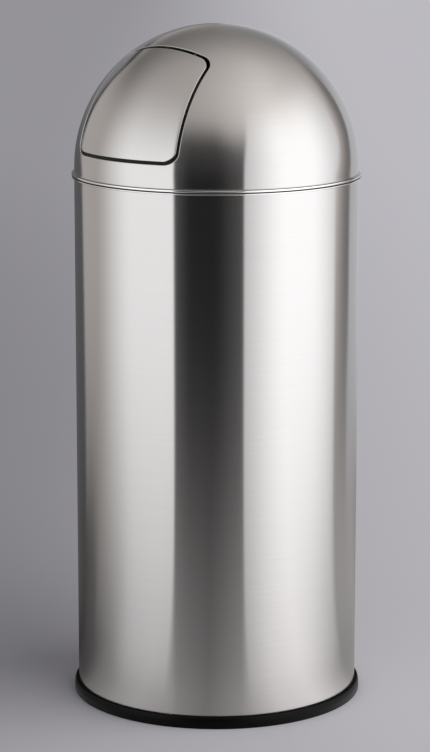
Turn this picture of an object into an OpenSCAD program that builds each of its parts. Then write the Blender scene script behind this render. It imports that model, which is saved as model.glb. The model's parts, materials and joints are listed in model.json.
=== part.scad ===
// Dome top waste receptacle: a rolled steel body on a black foot ring, a lift-off dome
// whose push flap swings inward and springs shut, and a lift-out liner with two wire
// handles. Origin: centre of the foot, on the floor. +Z is up and the flap faces -Y.

/* [Body] */
// Outside diameter of the body and of the dome
body_d = 380; // [350:1:410]
// Height of the body's top edge above the floor
body_h = 708; // [600:1:760]
// Thickness of the body and dome sheet
sheet = 1; // [0.8:0.1:1.2]
// Height of the folded hem inside the body's top edge
hem_h = 8; // [5:0.5:12]
// Width of the lap behind the body's back seam
seam_w = 14; // [8:1:24]
// Width of the seam's hairline groove
groove_w = 0.8; // [0.5:0.1:1.5]
// Depth of the seam's hairline groove
groove_depth = 0.4; // [0.2:0.1:0.5]

/* [Foot] */
// Height of the black foot ring
foot_h = 16; // [12:0.5:24]
// How far the foot ring stands out from the body
foot_out = 5.5; // [3:0.5:9]
// Thickness of the foot ring under the body's lower edge
foot_floor = 3.5; // [2.5:0.5:6]
// Thickness of the foot ring's inner wall
foot_inner = 4; // [3:0.5:6]
// Radius of the foot ring's upper outside edge
foot_round = 3; // [1:0.5:3]
// Radius of the foot ring's lower outside edge
foot_toe = 1.2; // [0.5:0.1:2]
// Height of the floor pan's top above the floor
pan_z = 28; // [26:1:40]
// Height of the floor pan's turned-down edge
pan_edge = 14; // [8:1:15]
// Middle radius of the stiffening ring pressed into the pan
pan_rib_r = 120; // [60:1:140]
// Width of that stiffening ring
pan_rib_w = 24; // [12:1:30]
// Depth of that stiffening ring
pan_rib_depth = 3; // [1:0.5:4]

/* [Dome] */
// Height of the straight skirt below the hemisphere
skirt_h = 11.7; // [10:0.1:20]
// Radius of the half-round bead on the skirt
bead_r = 3.5; // [2.5:0.1:4.5]
// How far the locating collar reaches below the dome's rim
collar_reach = 25; // [15:1:40]
// Height above the dome's rim at which the collar starts to widen
collar_joggle = 1; // [0.5:0.1:2]
// Thickness of the collar
collar_wall = 1; // [0.8:0.1:1.5]

/* [Flap] */
// Width of the flap across its foot
flap_w = 178; // [150:1:186]
// Height of the flap's lower edge above the base of the hemisphere
flap_foot = 28; // [24:0.5:40]
// Elevation of the flap's upper edge, seen from the hemisphere's centre
flap_top_angle = 59.3; // [55:0.1:62]
// Angle at which the flap's two sides draw in towards its top
taper_angle = 9.1; // [6:0.1:12]
// Radius of the flap's corners
flap_corner = 16; // [10:1:22]
// Radius of the opening's corners
opening_corner = 14; // [8:1:20]
// Gap beside the flap
gap_side = 2.6; // [2:0.1:4]
// Gap under the flap
gap_foot = 4; // [3.5:0.1:5]
// Gap over the flap
gap_top = 3.6; // [3:0.1:5]
// Depth of the flap's folded edge
flap_edge = 6; // [5:0.5:8]
// Depth of the opening's folded edge
opening_edge = 3; // [2:0.1:3.2]
// How far the rubber lip laps behind the opening's edge
seal_lap = 4; // [3:0.5:6]
// Width of the rubber lip inside the flap's folded edge
seal_inside = 2.5; // [1.5:0.5:4]
// How far the rubber lip reaches in past the flap's folded edge
seal_depth = 2.5; // [1.5:0.5:4]
// Elevation at which the two ends of the rubber lip stop
seal_top_angle = 51; // [40:1:54]

/* [Hinge] */
// Depth of the hinge axis below the dome's outer surface
hinge_depth = 25; // [24:0.5:28]
// How far the hinge axis lies behind the flap's upper edge, in degrees
hinge_back_angle = 0.7; // [0:0.1:1.2]
// Diameter of the hinge rod
rod_d = 5; // [4:0.5:6]
// Distance from the centre to the inner face of each ear
ear_s = 43; // [38:1:50]
// Thickness of the ears and the brackets
ear_t = 2; // [1.5:0.1:2.5]
// Radius of the round ends of the ears and the brackets
boss_r = 7; // [6.5:0.1:7.5]
// Thickness of the feet of the ears and the brackets
hinge_foot_t = 1.6; // [1:0.1:2]
// Width of the feet of the ears and the brackets
hinge_foot_w = 16; // [10:1:20]
// Elevation at which an ear's foot starts
ear_start_angle = 45; // [42:0.5:48]
// Elevation at which an ear's foot ends
ear_end_angle = 55; // [53:0.5:56]
// Elevation at which a bracket's foot starts
bracket_start_angle = 63; // [62:0.5:66]
// Elevation at which a bracket's foot ends
bracket_end_angle = 76; // [72:0.5:80]
// Wall of the plastic bushes
bush_wall = 1.5; // [1:0.1:2]
// Thickness of the bush's flange
bush_flange = 1; // [0.6:0.1:1.2]
// How far the flange stands out from the bush
bush_rim = 2; // [1:0.1:2.5]
// How far the bush stands out of the ear as a spacer
bush_spacer = 1.2; // [0.8:0.1:2]
// Free play between the bush and the bracket beside it
side_play = 0.3; // [0.2:0.1:0.5]
// Thickness of the push-on clips
clip_t = 1.2; // [0.8:0.1:2]
// Radius of the push-on clips
clip_r = 5.5; // [4.5:0.1:7]
// How far the rod stands out past its clips
rod_past = 3; // [1:0.5:4]

/* [Springs] */
// Diameter of the spring wire
spring_wire = 1.8; // [1.2:0.1:2]
// Turns in each spring
spring_turns = 6; // [4:1:6]
// Mean radius of the coils
spring_r = 5.5; // [5:0.1:6]
// Length of each coil
coil_l = 16; // [15:0.5:18]
// Elevation at which the spring's leg meets the flap
leg_flap_angle = 46; // [42:1:50]
// Elevation at which the spring's leg meets the dome
leg_dome_angle = 73; // [68:1:76]

/* [Liner] */
// Gap between the liner's wall and the body
liner_gap = 15; // [12:1:30]
// Depth of the liner's rim below the body's top edge
liner_down = 54; // [52:1:200]
// Thickness of the liner sheet
liner_wall_t = 1; // [0.6:0.1:1.2]
// Radius of the curl round the liner's rim
curl_r = 3; // [2.5:0.1:3.5]
// Slot left between the curl's edge and the wall
curl_slot = 0.8; // [0.5:0.1:1.2]
// Height of the liner's floor above its lower edge
liner_floor_up = 8; // [5:1:15]

/* [Handles] */
// Width of a wire handle between its legs' centres
handle_w = 84; // [60:1:100]
// Length of a wire handle from its pivot to the middle of its grip
handle_l = 60; // [45:1:80]
// Diameter of the handle wire
handle_wire = 5; // [4:0.5:6]
// Radius of the handle's corners
handle_bend = 12; // [8:1:20]
// Radius of the bend into the handle's pivot pins
pin_bend = 5; // [4:0.5:5]
// Depth of the handle's pivot below the liner's rim
pivot_down = 30; // [25:1:45]
// How far the handle's pivot stands in from the handle plate
pivot_in = 14.7; // [12:0.1:30]
// Thickness of the handle plate and its eyes
plate_t = 1.2; // [1:0.1:1.6]
// How far the handle plate reaches above the pivot
plate_above = 14; // [10:1:18]
// How far the handle plate reaches below the pivot
plate_below = 22; // [18:1:28]
// How far the handle plate reaches past its eyes
plate_side = 8; // [4:1:12]
// Radius of the rounded eyes
eye_r = 6.5; // [5:0.1:8]
// How far a pivot pin stands out past its eye
pin_past = 2.4; // [1:0.1:4]
// Depth of the rivets below the pivot
rivet_below = 9; // [6:0.5:12]
// Radius of the rivet shanks
rivet_r = 2; // [1.5:0.1:2.5]
// Radius of the rivet heads
rivet_head_r = 4; // [3:0.1:5]
// Thickness of the rivet heads
rivet_head_t = 1.3; // [0.8:0.1:1.5]
// Rivets in each handle plate
rivets = 3; // [2:1:4]
// Angle round the liner between neighbouring rivets
rivet_step = 9; // [7:1:10]

/* [Clearances] */
// Radial play of a shaft in its bore
running = 0.05; // [0.03:0.01:0.08]
// Gap where one piece stands loosely on another
seat_gap = 0.3; // [0.2:0.1:0.4]
// Gap where pieces are welded, pressed or riveted together
weld_gap = 0.1; // [0.05:0.05:0.15]
// Radial play of the collar in the body's mouth
collar_play = 0.4; // [0.3:0.1:0.8]

/* [Hidden] */
$fn = 96;

left = -1;
right = 1;
past = 1;                            // how far a cut runs past the faces it opens

body_r = body_d / 2;
inside_r = body_r - sheet;
mouth_r = inside_r - sheet;          // the hem doubles the sheet
fit_r = inside_r - weld_gap;         // outside of what is welded or pressed into the sheet
foot_r = body_r + foot_out;
grip_top = pan_z - pan_edge - weld_gap;
rim_z = body_h + seat_gap;           // lower edge of the dome
bead_z = rim_z + bead_r;
dome_z = rim_z + skirt_h;            // centre of the hemisphere

// Flap outline. A point of the dome is named by its distance sideways (s) and by its
// elevation (g) about the X axis through the hemisphere's centre.
edge_points = 12;                    // points along one straight stretch of an outline
corner_points = 8;                   // points round one corner
cone_r = 1.35 * body_r;              // reach of the cutting cones, well past the dome
foot_g = asin(flap_foot / body_r);
half_w = flap_w / 2;
foot_t = sqrt(pow(body_r, 2) - pow(flap_foot, 2) - pow(half_w, 2));
side_base = half_w - tan(taper_angle) * foot_t;

// Hinge
hinge_r = body_r - hinge_depth;
hinge_g = flap_top_angle + hinge_back_angle;
hinge_t = hinge_r * cos(hinge_g);
hinge_up = hinge_r * sin(hinge_g);
rod_r = rod_d / 2;
bore_r = rod_r + running;
bush_r = bore_r + bush_wall;
bush_end = ear_s + ear_t + bush_spacer;
bracket_s = bush_end + side_play;
clip_s = bracket_s + ear_t + side_play;
rod_end = clip_s + clip_t + rod_past;
ear_foot = [ear_start_angle, ear_end_angle];
bracket_foot = [bracket_start_angle, bracket_end_angle];

// Rubber lip
seal_out_r = body_r - opening_edge - seat_gap;
seal_in_r = body_r - flap_edge - seal_depth;

// Springs
coil_end = ear_s - bush_flange - spring_wire;
coil_steps = 16;                     // points in one turn of a coil
wire_sides = 8;

// Liner
liner_z = pan_z + seat_gap;
liner_in_r = inside_r - liner_gap - liner_wall_t;
liner_top = body_h - liner_down;
curl_z = liner_top - curl_r;
pivot_z = liner_top - pivot_down;
wire_r = handle_wire / 2;
eye_y = handle_w / 2 + pin_bend + plate_t;
pin_end = eye_y + plate_t / 2 + pin_past;
plate_r = liner_in_r - weld_gap;
pivot_r = plate_r - plate_t - pivot_in;
plate_half = asin((eye_y + plate_side) / plate_r);
hole_r = rivet_r + running;
drill_l = 20;                        // length of the rivet holes' cutting cylinder

steel = "#b9b7b3";
black = "#1b1b1c";
zinc = "#9aa0a4";
nylon = "#e6e2d8";
wire_grey = "#8d9094";
bright = "#a7abb0";

// ---------------------------------------------------------------- shared shapes

// A plain round band between two heights
module band(r, wall, z0, z1) {
    rotate_extrude() translate([r - wall, z0]) square([wall, z1 - z0]);
}

// The space between two spheres about the hemisphere's centre
module shell(r_in, r_out) {
    translate([0, 0, dome_z]) difference() {
        sphere(r_out);
        sphere(r_in);
    }
}

// Half width of the flap at elevation g, widened by off
function side_s(g, off) =
    let (a = side_base + off, c = tan(taper_angle) * cos(g))
    (a + c * sqrt(pow(body_r, 2) * (1 + c * c) - a * a)) / (1 + c * c);

// Elevation of the flap's lower edge, lowered by off, at distance s sideways
function foot_at(s, off) = asin((flap_foot - off) / sqrt(pow(body_r, 2) - s * s));

function arc_angle(l) = l / body_r * 180 / PI;

// A rounded rectangle of width w and height h as points, its straight sides subdivided
function rounded(w, h, r) = [
    for (k = [0 : 3])
        let (
            turn = 90 * k,
            cx = (k == 0 || k == 3 ? 1 : -1) * (w / 2 - r),
            cy = k < 2 ? h - r : r,
            run = (k % 2 == 0 ? w : h) - 2 * r
        )
        each concat(
            [for (i = [0 : corner_points])
                let (a = turn + 90 * i / corner_points)
                [cx + r * cos(a), cy + r * sin(a)]],
            [for (i = [1 : edge_points])
                let (a = turn + 90, along = run * i / (edge_points + 1))
                [cx + r * cos(a) - along * sin(a), cy + r * sin(a) + along * cos(a)]]
        )
];

// Directions from the hemisphere's centre to the flap's outline, moved out by the offsets
function outline(side, foot, top, corner) =
    let (
        g_top = flap_top_angle + arc_angle(top),
        g_foot = foot_at(0, foot),
        w = 2 * side_s(g_foot, side),
        h = body_r * (g_top - g_foot) * PI / 180
    )
    [for (p = rounded(w, h, corner))
        let (
            v = p[1] / h,
            s = 2 * p[0] / w * side_s(g_foot + v * (g_top - g_foot), side),
            g = foot_at(s, foot) + v * (g_top - foot_at(s, foot)),
            q = sqrt(1 - pow(s / body_r, 2))
        )
        [s / body_r, -q * cos(g), q * sin(g)]];

// A cone from the hemisphere's centre through an outline
module cone(side, foot, top, corner) {
    ring = outline(side, foot, top, corner);
    n = len(ring);
    g_mid = (foot_g + flap_top_angle) / 2;
    points = concat([[0, 0, 0], [0, -cos(g_mid), sin(g_mid)] * cone_r], ring * cone_r);
    faces = [for (i = [0 : n - 1])
        let (a = 2 + i, b = 2 + (i + 1) % n)
        each [[0, a, b], [1, b, a]]];
    translate([0, 0, dome_z]) polyhedron(points, faces);
}

module flap_cone(off) {
    cone(off, off, off, flap_corner + off);
}

module opening_cone(off) {
    cone(gap_side + off, gap_foot + off, gap_top + off, opening_corner + off);
}

// Everything above the plane through the X axis at elevation g
module above(g) {
    reach = 2 * cone_r;
    translate([0, 0, dome_z]) rotate([-g, 0, 0]) translate([-reach / 2, -reach / 2, 0]) cube(reach);
}

// A flat plate square to X, drawn as [forward, up] from the hemisphere's centre
module plate(s0, s1) {
    translate([(s0 + s1) / 2, 0, dome_z]) rotate([90, 0, -90])
        linear_extrude(s1 - s0, center = true) children();
}

function polar(r, g) = [r * cos(g), r * sin(g)];

// A round bar along X through the hinge axis
module hinge_bar(r, s0, s1) {
    translate([s0, -hinge_t, dome_z + hinge_up]) rotate([0, 90, 0]) cylinder(r = r, h = s1 - s0);
}

// A hinge lug: a web from the axis to the sheet above it, and a curved foot on the sheet
module lug(s, foot, hole) {
    mid = (foot[0] + foot[1]) / 2;
    tip = polar(cone_r, mid) - [hinge_t, hinge_up];
    dir = tip / norm(tip);
    across = [-dir[1], dir[0]] * boss_r;
    difference() {
        intersection() {
            union() {
                plate(s, s + ear_t) translate([hinge_t, hinge_up]) circle(boss_r);
                plate(s, s + ear_t) polygon([
                    [hinge_t, hinge_up] - across,
                    polar(body_r, foot[0]),
                    polar(body_r, foot[1]),
                    [hinge_t, hinge_up] + across,
                ]);
            }
            translate([0, 0, dome_z]) sphere(fit_r);
        }
        hinge_bar(hole, s - past, s + ear_t + past);
    }
    intersection() {
        shell(fit_r - hinge_foot_t, fit_r);
        plate(s, s + hinge_foot_w)
            polygon([[0, 0], polar(cone_r, foot[0]), polar(cone_r, foot[1])]);
    }
}

module on_side(side) {
    mirror([side < 0 ? 1 : 0, 0, 0]) children();
}

// A tube of wire along points that all lie close to planes square to X
module wire_along(path, r) {
    n = len(path);
    function unit(v) = v / norm(v);
    rings = [for (i = [0 : n - 1])
        let (
            t = unit(path[min(i + 1, n - 1)] - path[max(i - 1, 0)]),
            a = unit([1, 0, 0] - t[0] * t),
            b = cross(t, a)
        )
        for (k = [0 : wire_sides - 1])
            path[i] + r * (cos(360 * k / wire_sides) * a + sin(360 * k / wire_sides) * b)];
    walls = [for (i = [0 : n - 2], k = [0 : wire_sides - 1])
        let (
            p = i * wire_sides + k,
            q = i * wire_sides + (k + 1) % wire_sides
        )
        each [[p, p + wire_sides, q], [q, p + wire_sides, q + wire_sides]]];
    caps = [
        [for (k = [0 : wire_sides - 1]) k],
        [for (k = [wire_sides - 1 : -1 : 0]) (n - 1) * wire_sides + k],
    ];
    polyhedron(rings, concat(walls, caps));
}

// ---------------------------------------------------------------- body

module body_shell() color(steel) difference() {
    union() {
        rotate_extrude() {
            low = foot_floor + weld_gap;
            translate([inside_r, low]) square([sheet, body_h - sheet - low]);
            // the hem's fold and its round top
            translate([mouth_r, body_h - hem_h]) square([1.5 * sheet, hem_h - sheet]);
            translate([inside_r, body_h - sheet]) circle(sheet);
        }
        seam_lap();
    }
    translate([-groove_w / 2, body_r - groove_depth, foot_h / 2])
        cube([groove_w, 2 * groove_depth, body_h - foot_h / 2 - sheet]);
}

// The part of the sheet that lies behind the seam
module seam_lap() {
    half = asin(seam_w / 2 / inside_r);
    z0 = pan_z + seat_gap;
    rotate_extrude(angle = 2 * half, start = 90 - half)
        translate([inside_r - sheet, z0]) square([sheet * 1.5, body_h - hem_h / 2 - z0]);
}

module base_ring() color(black) rotate_extrude() difference() {
    union() {
        translate([fit_r - foot_inner, 0])
            square([foot_r - foot_round - fit_r + foot_inner, foot_h]);
        translate([foot_r - foot_round, foot_toe])
            square([foot_round, foot_h - foot_round - foot_toe]);
        translate([foot_r - foot_round, foot_h - foot_round]) circle(foot_round);
        translate([foot_r - foot_toe, foot_toe]) circle(foot_toe);
        translate([foot_r - foot_round, 0]) square([foot_round - foot_toe, foot_toe]);
    }
    // channel that grips the body's lower edge
    translate([fit_r, foot_floor]) square([body_r + weld_gap - fit_r, foot_h]);
    // the inner wall stops below the floor pan
    translate([0, grip_top]) square([body_r, foot_h]);
}

module base_plate() color(zinc) rotate_extrude() {
    r = fit_r;
    low = pan_z - pan_rib_depth;
    rib_in = pan_rib_r - pan_rib_w / 2;
    rib_out = pan_rib_r + pan_rib_w / 2;
    translate([r - sheet, pan_z - pan_edge]) square([sheet, pan_edge]);
    polygon([
        [0, pan_z - sheet],
        [rib_in, pan_z - sheet],
        [rib_in + pan_rib_depth, low - sheet],
        [rib_out - pan_rib_depth, low - sheet],
        [rib_out, pan_z - sheet],
        [r, pan_z - sheet],
        [r, pan_z],
        [rib_out, pan_z],
        [rib_out - pan_rib_depth, low],
        [rib_in + pan_rib_depth, low],
        [rib_in, pan_z],
        [0, pan_z],
    ]);
}

// ---------------------------------------------------------------- lid

module dome_shell() color(steel) difference() {
    union() {
        rotate_extrude() difference() {
            union() {
                translate([0, dome_z]) quadrant(body_r);
                translate([0, rim_z]) square([body_r, skirt_h]);
                translate([body_r, bead_z]) circle(bead_r);
            }
            translate([0, dome_z]) quadrant(inside_r);
            translate([0, rim_z - bead_r]) square([inside_r, skirt_h + bead_r]);
            translate([body_r, bead_z]) circle(bead_r - sheet);
        }
        intersection() {
            shell(body_r - opening_edge, body_r - sheet / 2);
            opening_cone(sheet);
        }
    }
    opening_cone(0);
}

module quadrant(r) {
    intersection() {
        circle(r);
        square(r);
    }
}

module lid_collar() color(zinc) rotate_extrude() {
    low_r = mouth_r - collar_play;
    z0 = rim_z - collar_reach;
    z1 = rim_z + collar_joggle;
    z2 = bead_z;
    z3 = dome_z - seat_gap;
    polygon([
        [low_r - collar_wall, z0], [low_r, z0], [low_r, z1], [fit_r, z2], [fit_r, z3],
        [fit_r - collar_wall, z3], [fit_r - collar_wall, z2], [low_r - collar_wall, z1],
    ]);
}

module hinge_bracket(side) color(zinc) on_side(side) lug(bracket_s, bracket_foot, bore_r);

module hinge_rod() color(bright) hinge_bar(rod_r, -rod_end, rod_end);

module rod_clips() color(zinc) for (side = [left, right]) on_side(side) difference() {
    hinge_bar(clip_r, clip_s, clip_s + clip_t);
    hinge_bar(bore_r, clip_s - past, clip_s + clip_t + past);
}

// A torsion spring: one leg on the dome, a coil round the rod, one leg on the flap.
// Opening the flap winds the coil tighter.
module flap_spring(side) {
    lift = inside_r - seat_gap - spring_wire / 2;
    // a leg's tip on the sheet, seen from the hinge axis as [forward, up]
    function tip(s, g) = polar(sqrt(lift * lift - s * s), g) - [hinge_t, hinge_up];
    // direction of the point at which a leg leaves the coil at a tangent
    function tangent(p, hand) = atan2(p[1], p[0]) + hand * acos(spring_r / norm(p));
    s_dome = coil_end - coil_l;
    tip_dome = tip(s_dome, leg_dome_angle);
    tip_flap = tip(coil_end, leg_flap_angle);
    start = tangent(tip_dome, -1);
    sweep = 360 * spring_turns + start - tangent(tip_flap, 1);
    steps = ceil(sweep / 360 * coil_steps);
    coil = [for (i = [0 : steps])
        let (f = i / steps, a = start - sweep * f)
        [s_dome + coil_l * f, spring_r * cos(a), spring_r * sin(a)]];
    path = concat(
        [[s_dome, tip_dome[0], tip_dome[1]]], coil, [[coil_end, tip_flap[0], tip_flap[1]]]
    );
    color(wire_grey) on_side(side)
        wire_along([for (p = path) [p[0], -hinge_t - p[1], dome_z + hinge_up + p[2]]],
            spring_wire / 2);
}

// ---------------------------------------------------------------- flap

module flap_panel() color(steel) difference() {
    intersection() {
        shell(body_r - flap_edge, body_r);
        flap_cone(0);
    }
    intersection() {
        translate([0, 0, dome_z]) sphere(inside_r);
        flap_cone(-sheet);
    }
}

module flap_ear(side) color(zinc) on_side(side) lug(ear_s, ear_foot, bush_r + running);

module ear_bush(side) color(nylon) on_side(side) difference() {
    union() {
        hinge_bar(bush_r, ear_s - bush_flange, bush_end);
        hinge_bar(bush_r + bush_rim, ear_s - bush_flange, ear_s - weld_gap);
    }
    hinge_bar(bore_r, ear_s - bush_flange - past, bush_end + past);
}

// A lip pressed on the flap's folded edge. It laps behind the opening's edge.
module flap_seal() color(black) difference() {
    intersection() {
        shell(seal_in_r, seal_out_r);
        cone(gap_side + seal_lap, gap_foot + seal_lap, gap_top, flap_corner);
    }
    flap_cone(-sheet - seal_inside);
    difference() {
        flap_cone(weld_gap);
        flap_cone(-sheet - weld_gap);
        translate([0, 0, dome_z]) sphere(body_r - flap_edge - weld_gap);
    }
    above(seal_top_angle);
}

// ---------------------------------------------------------------- liner

module liner_wall() color(zinc) difference() {
    rotate_extrude() difference() {
        union() {
            translate([liner_in_r, liner_z]) square([liner_wall_t, curl_z - liner_z]);
            translate([liner_in_r + curl_r, curl_z]) circle(curl_r);
        }
        translate([liner_in_r + curl_r, curl_z]) circle(curl_r - liner_wall_t);
        // the curl's free edge stops short of the wall
        translate([liner_in_r + curl_r, curl_z - curl_r - past]) square([curl_slot, curl_r]);
    }
    at_rivets() cylinder(r = hole_r, h = drill_l, center = true);
}

module liner_floor() color(zinc) {
    r = liner_in_r - weld_gap;
    z = liner_z + liner_floor_up;
    band(r, liner_wall_t, liner_z + liner_wall_t, z);
    translate([0, 0, z - liner_wall_t]) cylinder(r = r, h = liner_wall_t);
}

// Places a child at each rivet, its Z axis pointing out of the liner at the wall's inside
module at_rivets(sides = [left, right]) {
    for (side = sides, i = [0 : rivets - 1])
        rotate([0, 0, (side < 0 ? 180 : 0) + rivet_step * (i - (rivets - 1) / 2)])
            translate([liner_in_r, 0, pivot_z - rivet_below]) rotate([0, 90, 0]) children();
}

module handle_plate(side) color(zinc) on_side(side) {
    difference() {
        rotate_extrude(angle = 2 * plate_half, start = -plate_half)
            translate([plate_r - plate_t, pivot_z - plate_below])
                square([plate_t, plate_below + plate_above]);
        at_rivets([right]) cylinder(r = hole_r, h = drill_l, center = true);
    }
    for (y = [-eye_y, eye_y]) eye(y);
}

// One eye of a handle plate: a flat ear square to Y with the handle's bore
module eye(y) {
    back = sqrt(pow(plate_r - plate_t / 2, 2) - pow(abs(y) + plate_t / 2, 2));
    difference() {
        union() {
            translate([pivot_r, y, pivot_z]) rotate([90, 0, 0])
                cylinder(r = eye_r, h = plate_t, center = true);
            translate([pivot_r, y - plate_t / 2, pivot_z - eye_r])
                cube([back - pivot_r, plate_t, 2 * eye_r]);
        }
        translate([pivot_r, y, pivot_z]) rotate([90, 0, 0])
            cylinder(r = wire_r + running, h = 3 * plate_t, center = true);
    }
}

module plate_rivets() color(bright) at_rivets() {
    inner = -weld_gap - plate_t;
    outer = liner_wall_t;
    translate([0, 0, inner - weld_gap]) cylinder(r = rivet_r, h = outer - inner + 2 * weld_gap);
    translate([0, 0, inner - weld_gap - rivet_head_t]) cylinder(r = rivet_head_r, h = rivet_head_t);
    translate([0, 0, outer + weld_gap]) cylinder(r = rivet_head_r, h = rivet_head_t);
}

// A wire handle hanging from its eyes: pins, legs, corners and a straight grip
module liner_handle(side) color(bright) on_side(side) translate([pivot_r, 0, pivot_z]) {
    leg_y = handle_w / 2;
    for (k = [0, 1]) mirror([0, k, 0]) {
        translate([0, leg_y + pin_bend, 0]) rotate([-90, 0, 0])
            cylinder(r = wire_r, h = pin_end - leg_y - pin_bend);
        translate([0, leg_y + pin_bend, -pin_bend]) rotate([90, 0, 90])
            rotate_extrude(angle = 90, start = 90) translate([pin_bend, 0]) circle(wire_r);
        translate([0, leg_y, -handle_l + handle_bend])
            cylinder(r = wire_r, h = handle_l - handle_bend - pin_bend);
        translate([0, leg_y - handle_bend, -handle_l + handle_bend]) rotate([90, 0, 90])
            rotate_extrude(angle = 90, start = -90) translate([handle_bend, 0]) circle(wire_r);
    }
    translate([0, handle_bend - leg_y, -handle_l]) rotate([-90, 0, 0])
        cylinder(r = wire_r, h = handle_w - 2 * handle_bend);
}

// ---------------------------------------------------------------- assembly

body_shell();
base_ring();
base_plate();
dome_shell();
lid_collar();
hinge_bracket(left);  // hinge_bracket_left
hinge_bracket(right);  // hinge_bracket_right
hinge_rod();
rod_clips();
flap_spring(left);  // flap_spring_left
flap_spring(right);  // flap_spring_right
flap_panel();
flap_ear(left);  // flap_ear_left
flap_ear(right);  // flap_ear_right
ear_bush(left);  // ear_bush_left
ear_bush(right);  // ear_bush_right
flap_seal();
liner_wall();
liner_floor();
handle_plate(left);  // handle_plate_left
handle_plate(right);  // handle_plate_right
plate_rivets();
liner_handle(left);  // liner_handle_left
liner_handle(right);  // liner_handle_right
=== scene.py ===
"""Looks of a dome top waste receptacle: brushed steel shells round a galvanised liner.

Lengths are in metres. The object stands on the floor at z = 0 and its flap faces -Y. The
hemisphere's centre lies on the Z axis. A section is a list of points (across, up, normal across,
normal up), drawn anticlockwise round the material. It is turned about an axis, or carried along
an outline on the hemisphere.
"""
import json
from math import (
    acos, asin, atan, atan2, ceil, cos, degrees, dist, hypot, pi, radians, sin, sqrt, tan,
)

import bmesh
import bpy
import numpy as np
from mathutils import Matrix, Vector
from mathutils.geometry import delaunay_2d_cdt


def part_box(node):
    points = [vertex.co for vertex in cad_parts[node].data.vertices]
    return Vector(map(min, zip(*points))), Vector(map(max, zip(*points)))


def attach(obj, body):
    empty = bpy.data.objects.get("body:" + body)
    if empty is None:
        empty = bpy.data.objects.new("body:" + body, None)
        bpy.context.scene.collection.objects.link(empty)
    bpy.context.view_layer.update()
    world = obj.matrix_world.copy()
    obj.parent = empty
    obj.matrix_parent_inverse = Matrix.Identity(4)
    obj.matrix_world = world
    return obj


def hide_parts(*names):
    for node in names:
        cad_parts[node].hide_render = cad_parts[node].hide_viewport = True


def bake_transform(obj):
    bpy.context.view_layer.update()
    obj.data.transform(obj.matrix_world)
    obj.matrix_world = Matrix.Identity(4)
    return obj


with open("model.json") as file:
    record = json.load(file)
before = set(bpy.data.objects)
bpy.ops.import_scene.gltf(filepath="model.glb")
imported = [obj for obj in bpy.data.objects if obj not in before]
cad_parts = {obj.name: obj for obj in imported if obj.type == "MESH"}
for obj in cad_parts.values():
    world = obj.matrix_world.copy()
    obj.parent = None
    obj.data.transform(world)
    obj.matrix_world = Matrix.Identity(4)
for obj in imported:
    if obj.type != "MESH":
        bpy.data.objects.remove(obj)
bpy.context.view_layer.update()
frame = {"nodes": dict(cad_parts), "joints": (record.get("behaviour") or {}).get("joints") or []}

MM = 0.001

# ---- sizes

BODY_LOW, BODY_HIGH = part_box("body_shell")
DOME_LOW, DOME_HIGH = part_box("dome_shell")
FOOT_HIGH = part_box("base_ring")[1]
PAN_LOW, PAN_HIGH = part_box("base_plate")
COLLAR_LOW, COLLAR_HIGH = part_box("lid_collar")
LINER_LOW, LINER_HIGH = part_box("liner_wall")
LINER_FLOOR_LOW, LINER_FLOOR_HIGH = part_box("liner_floor")
HANDLE_LOW, HANDLE_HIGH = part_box("liner_handle_right")
JOINTS = {joint["name"]: joint for joint in frame["joints"]}

SHEET = 1 * MM  # thickness of all the sheet metal
WELD_GAP = 0.1 * MM
EDGE = 0.3 * MM  # rounding of a cut sheet's edge
SOFT = 0.5 * MM  # of a moulded one
SHARP = 0.1 * MM  # of an inner corner
PRESS_OUT = 1.8 * MM  # outside and inside rounding of a pressed edge
PRESS_IN = 0.8 * MM
HEM_END = 0.45 * MM  # rounding of a hem's or fold's cut end

# body
BODY_R = BODY_HIGH.x
BODY_TOP = BODY_HIGH.z
INSIDE_R = BODY_R - SHEET
HEM_H = 8 * MM
SEAM_HALF = 0.5 * MM  # half width of the back seam's groove
SEAM_DEPTH = 0.4 * MM
FIT_R = INSIDE_R - WELD_GAP

# foot ring and floor pan
FOOT_INNER_R = FIT_R - 4 * MM
FOOT_ROUND = 3 * MM
FOOT_TOE = 1.2 * MM
FOOT_SIDE_Z = 9 * MM  # where its side starts to lean in
FOOT_TOP_OUT = 4.2 * MM  # how far its top edge stands out
FOOT_CHANNEL_Z = 3.5 * MM
RIB_R = 120 * MM
RIB_HALF = 12 * MM
RIB_DEPTH = 3 * MM
RIB_BEND = 1.5 * MM

# dome
RIM_Z = DOME_LOW.z
DOME_Z = DOME_HIGH.z - BODY_R
CENTRE = np.array((0, 0, DOME_Z))
BEAD_Z = RIM_Z + 3.5 * MM  # middle of the rim's hollow, seen from inside
BEAD_R = 1.5 * MM
CURL_R = 2.1 * MM  # the rim's upper roll
CURL_OUT = 1.4 * MM  # how far its middle stands out
CURL_Z = RIM_Z + 3.75 * MM
LIP_R = 1.1 * MM  # rounding of its lower roll, which laps over the body's edge
LIP_OUT = 3.3 * MM
LIP_LOW = RIM_Z - 1 * MM
LIP_HIGH = RIM_Z + 1.3 * MM
NOTCH_OUT = 1.25 * MM  # bottom of the notch between the rolls
NOTCH_Z = RIM_Z + 1.5 * MM
CREASE_Z = CURL_Z + sqrt(CURL_R ** 2 - CURL_OUT ** 2)
CREASE_R = 0.15 * MM

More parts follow.
